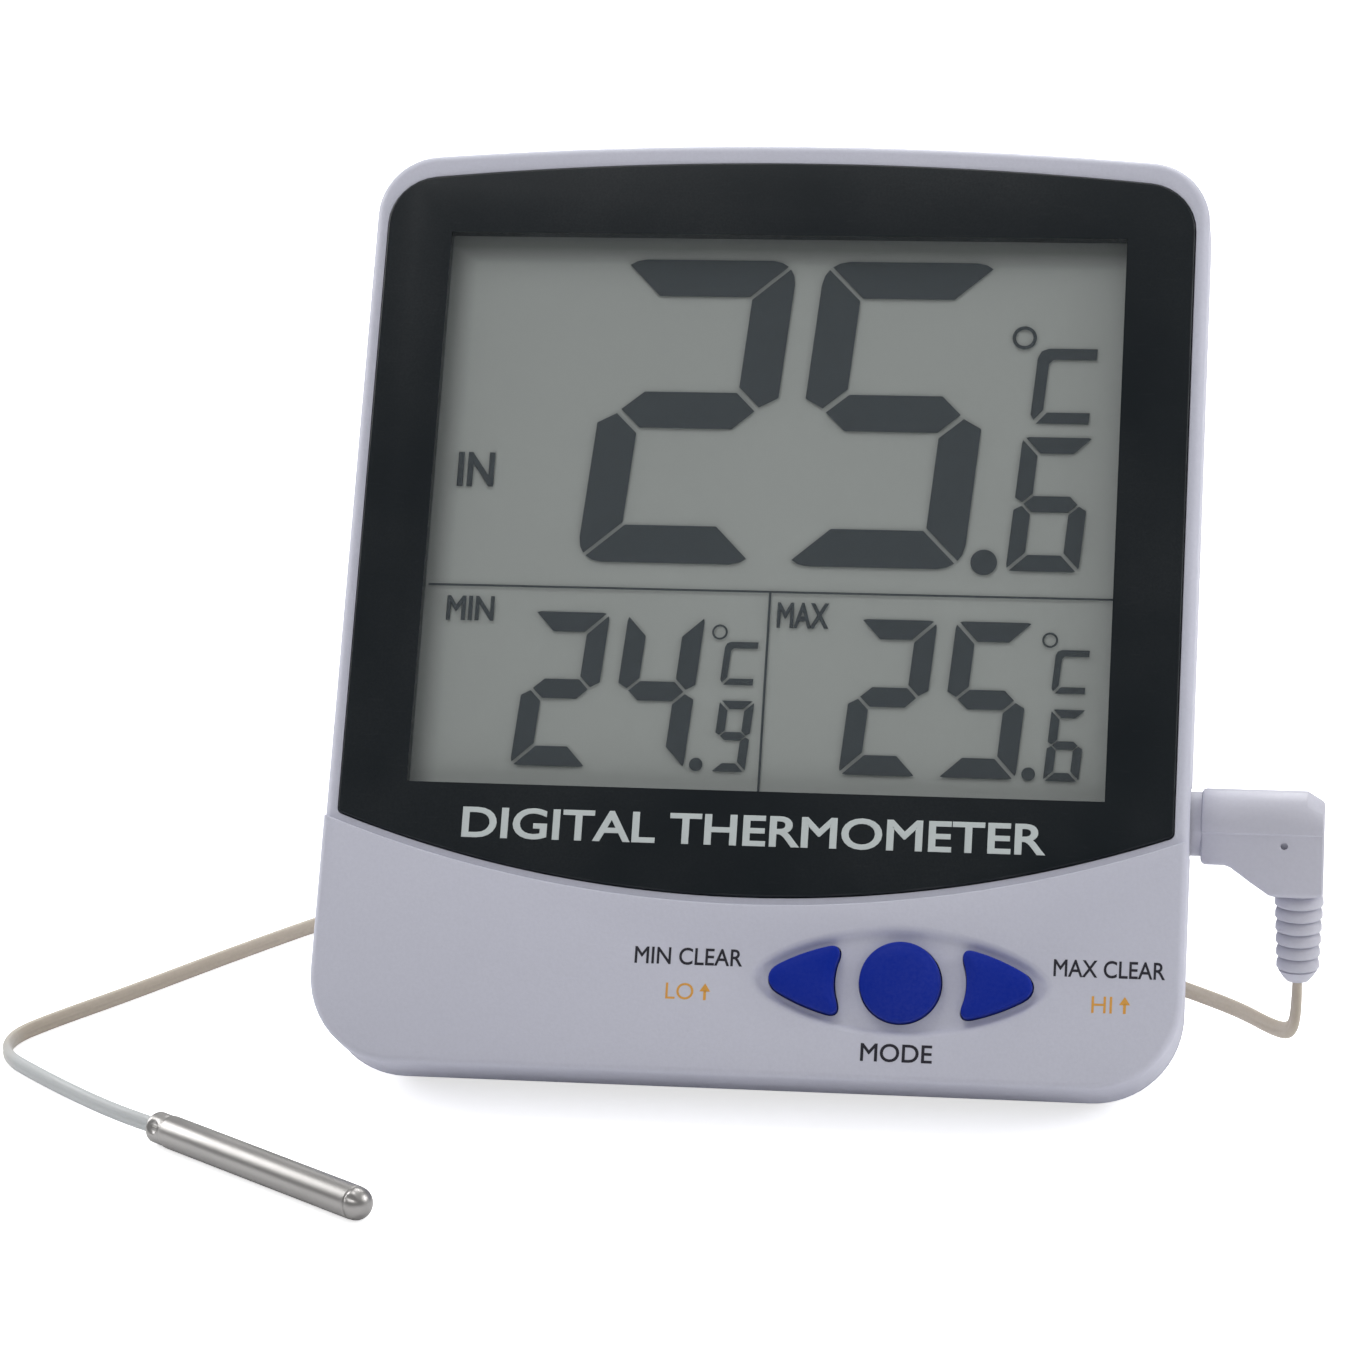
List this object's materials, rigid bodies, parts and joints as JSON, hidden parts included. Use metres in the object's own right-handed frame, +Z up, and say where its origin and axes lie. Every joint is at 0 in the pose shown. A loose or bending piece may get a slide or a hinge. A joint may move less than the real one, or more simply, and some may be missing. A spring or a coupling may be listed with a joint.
{
  "type": "max min thermometer with wired probe",
  "caption": "Leaning digital thermometer: arched case with a large display window, blue keys, a fold-out stand and a steel probe on a thin lead with a right-angle plug.",
  "frame": {"origin": "middle of the narrow flat land under the case's rear bottom edge, on the table", "axes": "+Z up, front faces -Y, +X to the right as the front is seen"},
  "size_m": [0.1566, 0.1543, 0.1041],
  "materials": {
    "case_plastic": "fine-grained moulded plastic",
    "lens_plastic": "clear gloss window with a black printed border",
    "display_glass": "grey-green display glass",
    "display_backing": "silvery reflector sheet",
    "dark_plastic": "black moulded plastic",
    "board": "green circuit board",
    "rubber": "soft grey rubber",
    "key_blue": "royal blue matte keys",
    "brass": "bare brass",
    "steel": "bright steel",
    "cell_wrap": "plastic cell wrap",
    "plug_plastic": "white moulded plastic",
    "cable_cream": "cream cable sheath",
    "tie_plastic": "black coated wire tie",
    "stainless": "polished stainless steel",
    "resin": "cast resin"
  },
  "bodies": {
    "case": {"front_case": "case_plastic", "rear_case": "case_plastic", "display_lens": "lens_plastic", "lcd_panel": "display_glass", "lcd_backing": "display_backing", "lcd_frame": "dark_plastic", "connector_strip_top": "rubber", "connector_strip_bottom": "rubber", "circuit_board": "board", "chip_cover": "resin", "crystal": "steel", "buzzer": "dark_plastic", "switch_body": "steel", "key_mat": "rubber", "probe_jack": "dark_plastic", "battery": "cell_wrap", "battery_plate": "brass", "battery_spring": "brass", "case_screws": "steel"},
    "min_key": {"min_key": "key_blue", "min_plunger": "rubber"},
    "mode_key": {"mode_key": "key_blue", "mode_plunger": "rubber"},
    "max_key": {"max_key": "key_blue", "max_plunger": "rubber"},
    "stand": {"stand_leg": "case_plastic"},
    "door": {"battery_door": "case_plastic"},
    "switch": {"switch_knob": "dark_plastic"},
    "lead": {"plug_body": "plug_plastic", "plug_sleeve": "brass", "plug_insulator": "dark_plastic", "plug_tip": "brass", "strain_relief": "plug_plastic", "cable_to_coil": "cable_cream", "cable_coil": "cable_cream", "cable_tie": "tie_plastic", "cable_to_probe": "cable_cream", "probe_tube": "stainless", "probe_potting": "resin", "thermistor": "resin"}
  },
  "joints": [
    {"name": "min_press", "type": "slide", "parent": "case", "child": "min_key", "axis": [0, 0.866, -0.5], "range_m": [0, 0.0009], "stiffness_N_per_m": 300, "springref_m": -0.001},
    {"name": "mode_press", "type": "slide", "parent": "case", "child": "mode_key", "axis": [0, 0.866, -0.5], "range_m": [0, 0.0009], "stiffness_N_per_m": 300, "springref_m": -0.001},
    {"name": "max_press", "type": "slide", "parent": "case", "child": "max_key", "axis": [0, 0.866, -0.5], "range_m": [0, 0.0009], "stiffness_N_per_m": 300, "springref_m": -0.001},
    {"name": "stand_fold", "type": "hinge", "parent": "case", "child": "stand", "pos_m": [0, 0.03665, 0.06165], "axis": [-1, 0, 0], "range_deg": [0, 48.5]},
    {"name": "door_tilt", "type": "hinge", "parent": "case", "child": "door", "pos_m": [-0.033, 0.00581, 0.00518], "axis": [-1, 0, 0], "range_deg": [0, 60]},
    {"name": "switch_slide", "type": "slide", "parent": "case", "child": "switch", "axis": [0, 0.5, 0.866], "range_m": [0, 0.0025]},
    {"name": "plug_pull", "type": "slide", "parent": "case", "child": "lead", "axis": [1, 0, 0], "range_m": [0, 0.015]}
  ]
}
